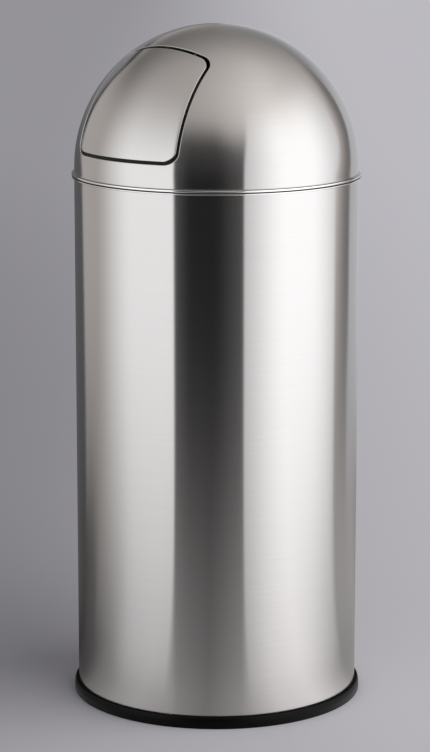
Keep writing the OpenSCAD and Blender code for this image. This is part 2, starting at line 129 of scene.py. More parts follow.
# flap and opening
FLAP_HALF = 88.6 * MM
FLAP_FOOT = 28 * MM  # height of the flap's foot above the hemisphere's base
FLAP_TOP = radians(59.3)  # elevation of its top
FLAP_CORNER = 16 * MM
OPENING_CORNER = 18 * MM
TAPER = tan(radians(9.1))
GAP_SIDE = 3.5 * MM
GAP_FOOT = 4 * MM
GAP_TOP = 5 * MM
FLAP_EDGE_R = BODY_R - 6 * MM  # distance from the centre at which the flap's fold ends
OPENING_EDGE_R = BODY_R - 3 * MM  # and the opening's
FLAP_REACH = sqrt(BODY_R ** 2 - FLAP_FOOT ** 2 - FLAP_HALF ** 2)
SIDE_BASE = FLAP_HALF - TAPER * FLAP_REACH
FOLD = 1 * MM  # outside radius of the folded edges
FOLD_INSIDE = 0.3 * MM

# rubber lip
SEAL_INSIDE = 2.5 * MM
SEAL_IN_R = FLAP_EDGE_R - 2.5 * MM
SEAL_OUT_R = OPENING_EDGE_R - 0.3 * MM
SEAL_TOP = radians(51)
SEAL_REACH = 6.6 * MM  # how far it stands out beside the flap
SEAL_DROP = 8 * MM  # and below it

# hinge and springs
HINGE = Vector(JOINTS["flap_swing"]["pos_m"])
ROD_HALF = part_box("hinge_rod")[1].x
ROD_R = 2.5 * MM
BORE_R = 2.55 * MM
BUSH_R = 4.05 * MM
BUSH_FLANGE_R = 6.05 * MM
BUSH_LOW, BUSH_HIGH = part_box("ear_bush_right")
BUSH_FLANGE = 0.9 * MM
CLIP_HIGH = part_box("rod_clips")[1].x
CLIP_T = 1.2 * MM
CLIP_R = 5.5 * MM
WIRE_R = 0.9 * MM
COIL_R = 5.5 * MM
COIL_TURNS = 6
COIL_START = 24.2 * MM
COIL_END = 40.2 * MM
LEG_FLAP = radians(46)
LEG_DOME = radians(73)
LEG_LIFT = INSIDE_R - 0.3 * MM - WIRE_R

# liner
LINER_IN_R = 173 * MM
LINER_R = LINER_IN_R + SHEET
BRIM_R = 3 * MM  # the curl round its rim
BRIM_Z = LINER_HIGH.z - BRIM_R
BRIM_END = radians(-125)
RIVET_Z = 9 * MM  # depth of the rivets below the handle's pivot
RIVET_STEP = radians(9)
RIVETS = 3
RIVET_R = 4 * MM
RIVET_RISE = 1.3 * MM
PLATE_T = 1.2 * MM

# handles
PIVOT = Vector(JOINTS["handle_right_swing"]["pos_m"])
HANDLE_R = 2.5 * MM
HANDLE_HALF = 42 * MM
HANDLE_BEND = 12 * MM
PIN_BEND = 5 * MM

AROUND = 256  # columns of a turned surface
ARC_STEP = radians(15)  # largest step round a rounded edge
PATCH_STEP = radians(2.2)  # spacing of the points on the hemisphere
CAP_STEPS = 4  # steps of a wire's rounded end
CAP_RISE = 0.6  # how far it stands out, in radii
HINGE_COLUMNS = 64
RIVET_COLUMNS = 32


def add_object(name, data):
    made = bpy.data.objects.new(name, data)
    bpy.context.collection.objects.link(made)
    return made


# ---- camera

VIEW_SIDE = radians(44.63)  # how far round from -Y the camera stands
VIEW_DISTANCE = 3.7295
VIEW_HEIGHT = 1.198
VIEW_PITCH = radians(11.564)
PICTURE_H = 752
FOCAL_PX = 2813
AXIS_PX = 1.78  # how far right of the picture's middle the axis lies
SENSOR = 36  # of the picture's long side, in millimetres
FAR = 200


def add_camera():
    camera = add_object("camera", bpy.data.cameras.new("camera"))
    camera.data.sensor_width = SENSOR
    camera.data.lens = FOCAL_PX * SENSOR / PICTURE_H
    camera.data.clip_end = FAR
    camera.location = (
        VIEW_DISTANCE * sin(VIEW_SIDE), -VIEW_DISTANCE * cos(VIEW_SIDE), VIEW_HEIGHT
    )
    turn = VIEW_SIDE + atan(AXIS_PX / FOCAL_PX)
    camera.rotation_euler = (pi / 2 - VIEW_PITCH, 0, turn)
    bpy.context.scene.camera = camera


# ---- sections


def arc(across, up, radius, start, end):
    """Part of a circle, in degrees. Clockwise, it is hollow and its normals point to its middle."""
    start, end = radians(start), radians(end)
    hand = 1 if end > start else -1
    steps = max(2, ceil(abs(end - start) / ARC_STEP))
    angles = [start + (end - start) * i / steps for i in range(steps + 1)]
    return [
        (across + radius * cos(a), up + radius * sin(a), hand * cos(a), hand * sin(a))
        for a in angles
    ]


def corners(points, closed=True):
    """An outline through corners (across, up, rounding), each rounded by an arc."""
    section = []
    count = len(points)
    for i, (across, up, rounding) in enumerate(points):
        here = Vector((across, up))
        if not closed and i in (0, count - 1):
            other = Vector(points[1 if i == 0 else count - 2][:2])
            along = (other - here).normalized() * (1 if i == 0 else -1)
            section.append((across, up, along.y, -along.x))
            continue
        before = (here - Vector(points[i - 1][:2])).normalized()
        after = (Vector(points[(i + 1) % count][:2]) - here).normalized()
        turn = atan2(before.cross(after), before.dot(after))
        hand = 1 if turn > 0 else -1
        start = here - before * rounding * tan(abs(turn) / 2)
        middle = start + hand * rounding * Vector((-before.y, before.x))
        first = degrees(atan2(-hand * before.x, hand * before.y))
        section += arc(middle.x, middle.y, rounding, first, first + degrees(turn))
    return section


def bead():
    """The hollow inside the dome's rim, going down, with its mouth's edges rounded."""
    reach = BODY_R - INSIDE_R - EDGE
    rise = sqrt((BEAD_R + EDGE) ** 2 - reach ** 2)
    lean = degrees(atan2(rise, reach))
    return (
        arc(INSIDE_R + EDGE, BEAD_Z + rise, EDGE, 180, 360 - lean)
        + arc(BODY_R, BEAD_Z, BEAD_R, 180 - lean, lean - 180)
        + arc(INSIDE_R + EDGE, BEAD_Z - rise, EDGE, lean, 180)
    )


# ---- outline of the flap


def side_reach(elevation, widen):
    """Half the flap's width at an elevation about the X axis."""
    base = SIDE_BASE + widen
    slope = TAPER * cos(elevation)
    spread = 1 + slope ** 2
    return (base + slope * sqrt(BODY_R ** 2 * spread - base ** 2)) / spread


def foot_elevation(sideways, lower):
    """Elevation of the flap's foot at a distance sideways."""
    return asin((FLAP_FOOT - lower) / sqrt(BODY_R ** 2 - sideways ** 2))


def rounded_rectangle(width, height, corner, corner_points=14, edge_points=24):
    """Points round a rectangle that stands on the line y = 0, its straight sides subdivided."""
    points = []
    for k in range(4):
        turn = pi / 2 * k
        x = (1 if k in (0, 3) else -1) * (width / 2 - corner)
        y = height - corner if k < 2 else corner
        run = (width if k % 2 == 0 else height) - 2 * corner
        for i in range(corner_points + 1):
            a = turn + pi / 2 * i / corner_points
            points.append((x + corner * cos(a), y + corner * sin(a)))
        a = turn + pi / 2
        for i in range(1, edge_points + 1):
            along = run * i / (edge_points + 1)
            points.append((
                x + corner * cos(a) - along * sin(a),
                y + corner * sin(a) + along * cos(a),
            ))
    return points


def on_sphere(sideways, elevation):
    """Direction from the hemisphere's centre to a point beside the YZ plane."""
    level = sqrt(1 - (sideways / BODY_R) ** 2)
    return (
        sideways / BODY_R, -level * cos(elevation), level * sin(elevation)
    )


def outline(side, foot, top, corner):
    """Directions from the hemisphere's centre to the flap's outline, moved out by the offsets."""
    top_g = FLAP_TOP + top / BODY_R
    foot_g = foot_elevation(0, foot)
    width = 2 * side_reach(foot_g, side)
    height = BODY_R * (top_g - foot_g)
    directions = []
    for x, y in rounded_rectangle(width, height, corner):
        share = y / height
        sideways = 2 * x / width * side_reach(foot_g + share * (top_g - foot_g), side)
        low_g = foot_elevation(sideways, foot)
        directions.append(on_sphere(sideways, low_g + share * (top_g - low_g)))
    return np.array(directions)


def flap_line(offset):
    return outline(offset, offset, offset, FLAP_CORNER + offset)


def opening_line(offset):
    return outline(
        GAP_SIDE + offset, GAP_FOOT + offset, GAP_TOP + offset, OPENING_CORNER + offset
    )


def seal_line(offset):
    """Within the flap's edge it follows the flap, and outside it widens to the lip's own edge."""
    if offset <= 0:
        return flap_line(offset)
    share = offset / SEAL_REACH
    return outline(offset, share * SEAL_DROP, share * GAP_TOP, FLAP_CORNER)


# ---- tracks for the sections


def unit(vectors):
    return vectors / np.linalg.norm(vectors, axis=-1, keepdims=True)


def turned(angles, origin=(0, 0, 0), axis="z"):
    """A track round an axis. Across is the radius and up runs along the axis."""
    angles = np.asarray(angles)
    flat = np.zeros_like(angles)
    side = np.stack((np.cos(angles), np.sin(angles), flat), axis=1)
    rise = np.stack((flat, flat, flat + 1), axis=1)
    if axis == "x":
        side, rise = side[:, [2, 0, 1]], rise[:, [2, 0, 1]]
    origin = np.array(origin)

    def track(across, up):
        return origin + across * side + up * rise, side, rise

    return track


def circle(count=AROUND):
    return [2 * pi * i / count for i in range(count)]


def carried(line, keep=slice(None)):
    """A track along an outline. Across is the outline's offset and up is the radius."""

    def track(across, up):
        directions = line(across)
        forward = np.roll(directions, -1, axis=0) - np.roll(directions, 1, axis=0)
        out = unit(np.cross(forward, directions))
        return (CENTRE + up * directions)[keep], out[keep], directions[keep]

    return track


# ---- meshes


def quads(rows, columns, closed=False, ring=True):
    """Faces between rows of points. Closed joins the last row to the first, ring a row's ends."""
    return [
        (i * columns + j, i * columns + (j + 1) % columns,
         (i + 1) % rows * columns + (j + 1) % columns, (i + 1) % rows * columns + j)
        for i in range(rows - (not closed)) for j in range(columns - (not ring))
    ]


class Surface:
    """Collects the patches of one piece, with the exact normal of each point."""

    WELD = 1e-6

    def __init__(self):
        self.points = []
        self.normals = []
        self.faces = []

    def add(self, points, normals, faces):
        first = sum(len(p) for p in self.points)
        self.points.append(points)
        self.normals.append(normals)
        self.faces += [[first + i for i in face] for face in faces]

    def loft(self, section, track, closed=True, ring=True):
        """The surface that a section sweeps. Closed joins its ends, ring those of the track."""
        rows = []
        for across, up, normal_across, normal_up in section:
            points, side, rise = track(across, up)
            rows.append((points, normal_across * side + normal_up * rise))
        points, normals = (np.concatenate(parts) for parts in zip(*rows))
        self.add(points, normals, quads(len(rows), len(rows[0][0]), closed, ring))

    def piece(self, name, *finishes, inner=None):
        """The finished object. Faces for which inner(middle) holds take the second finish."""
        mesh = bpy.data.meshes.new(name)
        mesh.from_pydata(np.concatenate(self.points), [], self.faces)
        exact = mesh.attributes.new("exact", "FLOAT_VECTOR", "POINT")
        exact.data.foreach_set("vector", np.concatenate(self.normals).astype(np.float32).ravel())
        work = bmesh.new()
        work.from_mesh(mesh)
        bmesh.ops.remove_doubles(work, verts=work.verts, dist=self.WELD)
        work.to_mesh(mesh)
        work.free()
        normals = np.zeros(3 * len(mesh.vertices), np.float32)
        mesh.attributes["exact"].data.foreach_get("vector", normals)
        mesh.attributes.remove(mesh.attributes["exact"])
        mesh.shade_smooth()
        mesh.normals_split_custom_set_from_vertices(normals.reshape(-1, 3))
        for finish in finishes:
            mesh.materials.append(finish)
        if inner:
            for face in mesh.polygons:
                face.material_index = int(inner(face.center))
        return add_object(name, mesh)


def stand_for(piece, body, slot, *nodes):
    """The piece rides on a body and takes the place of its solids."""
    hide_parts(*nodes)
    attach(piece, body)


def turned_piece(name, section, finish, body, slot, node, closed=True):
    """A piece that one section makes, turned about the Z axis."""
    surface = Surface()
    surface.loft(section, turned(circle()), closed)
    stand_for(surface.piece(name, finish), body, slot, node)


def flatten(directions):
    """Directions as points of a map whose middle is the top of the hemisphere."""
    level = np.linalg.norm(directions[:, :2], axis=1)
    fall = np.arctan2(level, directions[:, 2])
    return directions[:, :2] * (fall / np.maximum(level, 1e-12))[:, None]


def unflatten(points):
    fall = np.linalg.norm(points, axis=1)
    level = np.sin(fall) / np.maximum(fall, 1e-12)
    return np.column_stack((points * level[:, None], np.cos(fall)))


def is_inside(points, polygon):
    """Whether each point lies inside a closed polygon."""
    after = np.roll(polygon, -1, axis=0)
    x, y = points[:, :1], points[:, 1:]
    crosses = (polygon[:, 1] > y) != (after[:, 1] > y)
    rise = np.where(after[:, 1] == polygon[:, 1], 1, after[:, 1] - polygon[:, 1])
    meets = polygon[:, 0] + (y - polygon[:, 1]) / rise * (after[:, 0] - polygon[:, 0])
    return (crosses & (x < meets)).sum(axis=1) % 2 == 1


def distance_to(points, polygon):
    """How far each point lies from a closed polygon's nearest side."""
    side = np.roll(polygon, -1, axis=0) - polygon
    offset = points[:, None, :] - polygon[None, :, :]
    share = np.clip((offset * side).sum(-1) / (side ** 2).sum(-1), 0, 1)
    return np.linalg.norm(offset - share[..., None] * side, axis=-1).min(axis=1)


def add_patch(surface, radius, outer, hole=None, inward=False):
    """Part of a sphere round the hemisphere's centre, inside one outline and outside another."""
    rings = [np.zeros((1, 2))]
    for k in range(1, int(pi / 2 / PATCH_STEP)):
        fall = k * PATCH_STEP
        count = round(2 * pi * sin(fall) / PATCH_STEP)
        turn = (np.arange(count) + 0.5 * (k % 2)) * 2 * pi / count
        rings.append(fall * np.column_stack((np.cos(turn), np.sin(turn))))
    grid = np.concatenate(rings)
    edges = [flatten(edge) for edge in (outer, hole) if edge is not None]

    def within(points):
        inside = [is_inside(points, edge) for edge in edges]
        return inside[0] if hole is None else inside[0] & ~inside[1]

    keep = within(grid)
    for edge in edges:
        keep &= distance_to(grid, edge) > 0.55 * PATCH_STEP
    points = np.concatenate(edges + [grid[keep]])
    lines = []
    for edge in edges:
        first, count = len(lines), len(edge)
        lines += [(first + i, first + (i + 1) % count) for i in range(count)]
    made = delaunay_2d_cdt([Vector(p) for p in points], lines, [], 0, 1e-9)
    flat, faces = np.array([v[:] for v in made[0]]), np.array(made[2])
    faces = faces[within(flat[faces].mean(axis=1))]
    directions, sign = unflatten(flat), -1 if inward else 1
    surface.add(CENTRE + radius * directions, sign * directions, faces[:, ::sign].tolist())


def wire_piece(name, path, radius, finish, sides):
    """A round wire with rounded ends along a path of points."""
    along = unit(np.gradient(np.array(path), axis=0))
    side = np.cross(along[0], (0.31, 0.52, 0.79))
    stations = []
    for middle, tangent in zip(np.array(path), along):
        side = unit(side - tangent * (side @ tangent))
        stations.append((middle, tangent, side, radius))
    for end, sign in ((0, -1), (-1, 1)):
        middle, tangent, side, _ = stations[end]
        bulge = sign * tangent * radius * CAP_RISE
        cap = [
            (middle + bulge * sin(a), tangent, side, radius * cos(a))
            for a in (pi / 2 * k / CAP_STEPS for k in range(1, CAP_STEPS))
        ]
        stations = cap[::-1] + stations if end == 0 else stations + cap
    turn = np.array(circle(sides))[:, None]
    points = np.concatenate([
        middle + r * (np.cos(turn) * side + np.sin(turn) * np.cross(tangent, side))
        for middle, tangent, side, r in stations
    ])
    ends = [range(sides)[::-1], range(len(points) - sides, len(points))]
    mesh = bpy.data.meshes.new(name)
    mesh.from_pydata(points, [], quads(len(stations), sides) + [list(end) for end in ends])
    mesh.shade_smooth()
    mesh.materials.append(finish)
    return add_object(name, mesh)


# ---- finishes

NOISE_RANGE = (0.3, 0.7)  # holds nearly all of a noise's values
HAIR = (0.18, 0.0006, 3)  # length, width and detail of the brushed marks
BAND = (0.5, 0.004, 2)


class Finish:
    """A material's nodes, with short calls to make and join them."""

    def __init__(self, name, **values):
        self.material = bpy.data.materials.new(name)
        self.material.use_nodes = True
        self.nodes = self.material.node_tree.nodes
        self.shader = self.nodes["Principled BSDF"]
        self.place = self.node("ShaderNodeTexCoord").outputs["Object"]
        self.set(**values)

    def node(self, kind, *inputs, **settings):
        made = self.nodes.new(kind)
        for key, value in settings.items():
            setattr(made, key, value)
        for i, value in enumerate(inputs):
            self.feed(made.inputs[i], value)
        return made

    def feed(self, socket, value):
        if isinstance(value, bpy.types.NodeSocket):
            self.material.node_tree.links.new(value, socket)
        elif value is not None:
            socket.default_value = value

    def math(self, operation, *inputs):
        return self.node("ShaderNodeMath", *inputs, operation=operation).outputs[0]

    def times(self, a, b):
        return self.math("MULTIPLY", a, b)

    def vector(self, x, y, z):
        return self.node("ShaderNodeCombineXYZ", x, y, z).outputs[0]

    def axes(self):
        return self.node("ShaderNodeSeparateXYZ", self.place).outputs

    def scaled(self, vector, factors):
        return self.node("ShaderNodeVectorMath", vector, factors, operation="MULTIPLY").outputs[0]

    def named(self, kind, output, **inputs):
        """One output of a node whose inputs are given by name."""
        made = self.nodes.new(kind)
        for key, value in inputs.items():
            self.feed(made.inputs[key], value)
        return made.outputs[output]

    def noise(self, scale, detail, place=None, roughness=0.5):
        return self.named(
            "ShaderNodeTexNoise", "Fac",
            Vector=place or self.place, Scale=scale, Detail=detail, Roughness=roughness,
        )

    def ramp(self, *values, **settings):
        """A value's range, from low and high, mapped onto another."""
        return self.node("ShaderNodeMapRange", *values, **settings).outputs[0]

    def spread(self, noise, low=0, high=1):
        """A noise spread over a range."""
        return self.ramp(noise, *NOISE_RANGE, low, high)

    def tint(self, value, dark, light):
        """A blend of two colours, each a fixed one or another node's."""
        made = self.node("ShaderNodeMix", data_type="RGBA")
        self.feed(made.inputs["Factor"], value)
        for socket, colour in zip([s for s in made.inputs if s.type == "RGBA"], (dark, light)):
            self.feed(socket, colour if isinstance(colour, bpy.types.NodeSocket) else (*colour, 1))
        return [s for s in made.outputs if s.type == "RGBA"][0]

    def bump(self, height, distance, strength):
        return self.named(
            "ShaderNodeBump", "Normal", Strength=strength, Distance=distance, Height=height
        )

    def set(self, **links):
        for key, value in links.items():
            self.feed(self.shader.inputs[key.replace("_", " ")], value)
        return self.material


def brushed_steel():
    """Outside of the shells: brushed round the axis, so its reflections smear up and down."""
    f = Finish("brushed_steel", Metallic=1, Anisotropic=1, Anisotropic_Rotation=0.25)
    x, y, z = f.axes()

    def distance(a, b):
        return f.math("SQRT", f.math("ADD", f.times(a, a), f.times(b, b)))

    level = distance(x, y)
    side_x, side_y = f.math("DIVIDE", x, level), f.math("DIVIDE", y, level)
    rise = f.math("SUBTRACT", z, DOME_Z)
    above = f.math("MAXIMUM", rise, 0)
    over = f.math("ARCTAN2", above, level)
    meridian = f.math("ADD", f.math("MINIMUM", z, DOME_Z), f.times(over, BODY_R))

    def streaks(length, width, detail):
        """Noise whose streaks are so long round the axis and so wide across it."""
        turn = BODY_R / length
        place = f.vector(
            f.times(side_x, turn), f.times(side_y, turn),
            f.times(meridian, 1 / width),
        )
        return f.noise(1, detail, place, 0.6)

    hair = streaks(*HAIR)
    mixed = f.math("ADD", f.times(hair, 0.8), f.times(streaks(*BAND), 0.2))
    tangent = f.node(
        "ShaderNodeVectorTransform",
        f.vector(f.times(y, -1), x, 0),
        vector_type="VECTOR", convert_from="OBJECT", convert_to="WORLD",
    ).outputs[0]
    steel = f.tint(f.spread(mixed), (0.625, 0.62, 0.615), (0.655, 0.65, 0.645))
    # the rolled rim stands out; its colour is lightened there as a painted highlight
    rolled = f.ramp(level, BODY_R + 0.3 * MM, BODY_R + 1.5 * MM, 0, 1)
    steel = f.tint(rolled, steel, (0.95, 0.94, 0.935))

    def near(height, reach):
        """1 at a height and 0 beyond a reach from it."""
        away = f.math("ABSOLUTE", f.math("SUBTRACT", z, height))
        return f.ramp(away, 0.4 * reach, reach, 1, 0)

    # painted shade: the colour goes nearly black in the rolled rim's two hollows and darker along
    # the folded edges
    hollow = f.math("MAXIMUM", near(NOTCH_Z, 1.1 * MM), near(CREASE_Z, 0.5 * MM))
    from_centre = distance(level, above)
    # painted shade along the folded edges of the flap and the opening
    painted_fold_shade = f.ramp(from_centre, BODY_R - 0.6 * MM, BODY_R - 0.3 * MM, 0.8, 0)
    painted_fold_shade = f.times(painted_fold_shade, f.ramp(rise, 2 * MM, 6 * MM, 0, 1))
    hollow = f.math("MAXIMUM", hollow, painted_fold_shade)
    return f.set(
        Base_Color=f.tint(f.times(hollow, 0.95), steel, (0.01, 0.01, 0.01)),
        Roughness=f.times(f.spread(mixed, 0.15, 0.17), f.ramp(rolled, 0, 1, 1, 0.4)),
        Normal=f.bump(hair, 0.000005, 0.5),
        Tangent=tangent,
    )


def mill_steel():
    """Inside of the shells: the sheet's dull rolled finish."""
    f = Finish("mill_steel", Metallic=1)
    cloud = f.noise(14, 4)
    fine = f.noise(900, 2)
    return f.set(
        Base_Color=f.tint(f.spread(cloud), (0.46, 0.455, 0.445), (0.56, 0.555, 0.545)),
        Roughness=f.spread(cloud, 0.36, 0.46),
        Normal=f.bump(fine, 0.00003, 0.6),
    )


def galvanised():
    """Zinc coated sheet with its crystals."""
    f = Finish("galvanised", Metallic=0.9)
    bend = f.scaled(f.node("ShaderNodeTexNoise", f.place).outputs["Color"], (0.012, 0.012, 0.012))
    bent = f.node("ShaderNodeVectorMath", f.place, bend, operation="ADD")
    cells = f.named("ShaderNodeTexVoronoi", "Color", Vector=bent.outputs[0], Scale=70)
    crystals = f.node("ShaderNodeSeparateColor", cells).outputs[0]
    fine = f.noise(420, 3)
    mixed = f.math("ADD", f.times(crystals, 0.7), f.times(fine, 0.3))
    return f.set(
        Base_Color=f.tint(mixed, (0.38, 0.395, 0.41), (0.58, 0.595, 0.61)),
        Roughness=f.ramp(mixed, 0, 1, 0.34, 0.52),
        Normal=f.bump(mixed, 0.00004, 0.5),
    )


def moulded(name, dark, light, roughness, grain, depth):
    """Moulded plastic or rubber with a fine grain."""
    f = Finish(name)
    cloud = f.noise(30, 3)
    fine = f.noise(grain, 2)
    return f.set(
        Base_Color=f.tint(f.spread(cloud), dark, light),
        Roughness=f.spread(fine, roughness - 0.05, roughness + 0.07),
        Normal=f.bump(fine, depth, 0.6),
    )


def foot_plastic():
    """Black moulded plastic. The sheen lies on the ring's upright side, not on its two edges."""
    f = Finish("foot_plastic", Specular_IOR_Level=0.12)
    cloud = f.noise(30, 3)
    fine = f.noise(900, 2)
    away = f.math("ABSOLUTE", f.math("SUBTRACT", f.axes()[2], FOOT_HIGH.z / 2))
    return f.set(
        Base_Color=f.tint(cloud, (0.001, 0.001, 0.0011), (0.003, 0.003, 0.0033)),
        Roughness=f.math(
            "MAXIMUM", f.spread(fine, 0.31, 0.43), f.ramp(away, 6.4 * MM, 7.6 * MM, 0, 1)
        ),
        Normal=f.bump(fine, 0.00008, 0.6),
    )


def drawn_metal(name, dark, light, roughness, stretch):
    """Drawn or turned metal. Stretch gives how fast its fine marks change along each axis."""
    f = Finish(name, Metallic=1)
    marks = f.noise(1, 3, f.scaled(f.place, stretch))
    return f.set(
        Base_Color=f.tint(f.spread(marks), dark, light),
        Roughness=f.spread(marks, roughness, roughness + 0.1),
        Normal=f.bump(marks, 0.00002, 0.5),
    )


# ---- body


def body_shell(finishes):
    """The rolled tube with its hemmed top edge and the hairline groove of its back seam."""
    section = corners([
        (BODY_R, BODY_LOW.z, EDGE), (BODY_R, BODY_TOP, SHEET),
        (BODY_R - 2 * SHEET, BODY_TOP, SHEET),
        (BODY_R - 2 * SHEET, BODY_TOP - HEM_H, HEM_END),
        (INSIDE_R, BODY_TOP - HEM_H, 2 * SHARP), (INSIDE_R, BODY_LOW.z, EDGE),
    ])
    seam = pi / 2
    reach = SEAM_HALF / BODY_R
    near_seam = [seam + reach * k / 4 for k in range(-4, 5)]
    angles = sorted(set(circle()) - {seam} | set(near_seam))
    plain = turned(angles)
    offset = (np.array(angles) - seam) / reach
    in_groove = np.abs(offset) < 1
    depth = np.where(in_groove, SEAM_DEPTH * (1 + np.cos(pi * offset)) / 2, 0)
    slope = np.where(in_groove, -SEAM_DEPTH / SEAM_HALF * pi / 2 * np.sin(pi * offset), 0)

    def track(across, up):
        points, side, rise = plain(across, up)
        if across < BODY_R - EDGE / 2 or up > BODY_TOP - 2 * SHEET:
            return points, side, rise
        round_the_axis = np.stack((-side[:, 1], side[:, 0], 0 * side[:, 0]), axis=1)
        return points - depth[:, None] * side, unit(side + slope[:, None] * round_the_axis), rise

    def inner(middle):
        level = hypot(middle.x, middle.y)
        return level < INSIDE_R + 2 * SHARP and middle.z < BODY_TOP - 0.6 * MM

    surface = Surface()
    surface.loft(section, track)
    made = surface.piece("body_tube", *finishes, inner=inner)
    stand_for(made, "body", "brushed_steel", "body_shell")


def base_ring(finish):
    """The black foot: a channel that grips the tube's lower edge."""
    inner_top = PAN_LOW.z - WELD_GAP
    section = corners([
        (FOOT_INNER_R, 0, SOFT), (FOOT_HIGH.x, 0, FOOT_TOE),
        (FOOT_HIGH.x, FOOT_SIDE_Z, 2 * FOOT_ROUND),
        (BODY_R + FOOT_TOP_OUT, FOOT_HIGH.z, FOOT_ROUND),
        (BODY_R + WELD_GAP, FOOT_HIGH.z, SOFT), (BODY_R + WELD_GAP, FOOT_CHANNEL_Z, SHARP),
        (FIT_R, FOOT_CHANNEL_Z, SHARP), (FIT_R, inner_top, EDGE),
        (FOOT_INNER_R, inner_top, SOFT),
    ])
    turned_piece("foot_ring", section, finish, "body", "foot_plastic", "base_ring")


def pan(low, high, rib=()):
    """Section of a pan with a turned-down edge. Its rib is pressed down at (across, drop)."""
    top, under, outer = high.z, high.z - SHEET, high.x
    return corners([
        (0, under, 0),
        *((across, under - drop, RIB_BEND) for across, drop in rib),
        (outer - SHEET, under, PRESS_IN), (outer - SHEET, low.z, EDGE),
        (outer, low.z, EDGE), (outer, top, PRESS_OUT),
        *((across, top - drop, RIB_BEND) for across, drop in rib[::-1]),
        (0, top, 0),
    ], closed=False)


def base_plate(finish):
    """The pressed floor pan with its stiffening ring."""
    start, end = RIB_R - RIB_HALF, RIB_R + RIB_HALF
    section = pan(PAN_LOW, PAN_HIGH, (
        (start, 0), (start + RIB_DEPTH, RIB_DEPTH), (end - RIB_DEPTH, RIB_DEPTH), (end, 0)
    ))
    turned_piece("floor_pan", section, finish, "body", "galvanised", "base_plate", False)


# ---- lid


def folded_edge(edge_r):
    """An edge folded in, from the sheet's outside to its inside. Its outline is at across 0."""
    return (
        arc(FOLD, BODY_R - FOLD, FOLD, 90, 180)
        + corners([
            (0, BODY_R - FOLD, 0), (0, edge_r, HEM_END), (SHEET, edge_r, HEM_END),
            (SHEET, INSIDE_R - FOLD_INSIDE, 0),
        ], closed=False)[1:-1]
        + arc(SHEET + FOLD_INSIDE, INSIDE_R - FOLD_INSIDE, FOLD_INSIDE, 180, 90)
    )


def dome_shell(finishes):
    """The spun dome with its rolled rim and the folded edge of its opening."""
    surface = Surface()
    columns = turned(circle())
    lean = degrees(acos((CREASE_R - CURL_OUT) / (CURL_R + CREASE_R)))
    crease_z = CURL_Z + sqrt((CURL_R + CREASE_R) ** 2 - (CREASE_R - CURL_OUT) ** 2)
    surface.loft(
        [(INSIDE_R, DOME_Z, -1, 0)]
        + bead()
        + arc(INSIDE_R + EDGE, RIM_Z + EDGE, EDGE, 180, 270)
        + arc(BODY_R + WELD_GAP - EDGE, RIM_Z - EDGE, EDGE, 90, 0)
        + arc(BODY_R + WELD_GAP + LIP_R, LIP_LOW + LIP_R, LIP_R, 180, 270)
        + arc(BODY_R + LIP_OUT - LIP_R, LIP_LOW + LIP_R, LIP_R, 270, 360)
        + arc(BODY_R + LIP_OUT - LIP_R, LIP_HIGH - LIP_R, LIP_R, 0, 90)
        + [(BODY_R + NOTCH_OUT, LIP_HIGH, 0, 1)]
        + arc(BODY_R + CURL_OUT, CURL_Z, CURL_R, -95, lean)
        + arc(BODY_R + CREASE_R, crease_z, CREASE_R, lean + 180, 180)
        + [(BODY_R, DOME_Z, 1, 0)],
        columns, closed=False,
    )
    surface.loft(folded_edge(OPENING_EDGE_R), carried(opening_line), closed=False)
    equator = columns(1, 0)[0]
    add_patch(surface, BODY_R, equator, opening_line(FOLD))
    add_patch(surface, INSIDE_R, equator, opening_line(SHEET + FOLD_INSIDE), inward=True)

    def inner(middle):
        from_centre = hypot(middle.x, middle.y, max(middle.z - DOME_Z, 0))
        return from_centre < INSIDE_R + 0.4 * MM and middle.z > RIM_Z + EDGE

    made = surface.piece("dome", *finishes, inner=inner)
    stand_for(made, "lid", "brushed_steel", "dome_shell")


def lid_collar(finish):
    """The locating ring that drops into the tube's mouth."""
    low_r = BODY_R - 2 * SHEET - 0.4 * MM
    joggle = RIM_Z + 1 * MM
    bend = 1 * MM
    section = corners([
        (low_r - SHEET, COLLAR_LOW.z, EDGE), (low_r, COLLAR_LOW.z, EDGE),
        (low_r, joggle, bend), (FIT_R, BEAD_Z, bend),
        (FIT_R, COLLAR_HIGH.z, EDGE), (FIT_R - SHEET, COLLAR_HIGH.z, EDGE),
        (FIT_R - SHEET, BEAD_Z, bend), (low_r - SHEET, joggle, bend),
    ])
    turned_piece("collar", section, finish, "lid", "galvanised", "lid_collar")


def turned_on_hinge(name, section, sides, finish, closed=True):
    """A round piece on the hinge axis, up along X, with one part on each of the sides given."""
    surface = Surface()
    track = turned(circle(HINGE_COLUMNS), origin=(0, HINGE.y, HINGE.z), axis="x")
    for side in sides:
        placed = [(a, side * u, na, side * nu) for a, u, na, nu in section]
        surface.loft(placed if side > 0 else placed[::-1], track, closed)
    return surface.piece(name, finish)


def hinge_rod(finish):
    section = corners([
        (0, -ROD_HALF, 0), (ROD_R, -ROD_HALF, SOFT), (ROD_R, ROD_HALF, SOFT), (0, ROD_HALF, 0),
    ], closed=False)
    made = turned_on_hinge("rod", section, [1], finish, closed=False)
    stand_for(made, "lid", "bright_rod", "hinge_rod")


def rod_clips(finish):
    inner, outer = CLIP_HIGH - CLIP_T, CLIP_HIGH
    section = corners([
        (BORE_R, inner, 2 * SHARP), (CLIP_R, inner, 0.35 * MM),
        (CLIP_R, outer, 0.35 * MM), (BORE_R, outer, 2 * SHARP),
    ])
    made = turned_on_hinge("push_on_clips", section, [-1, 1], finish)
    stand_for(made, "lid", "spring_steel", "rod_clips")


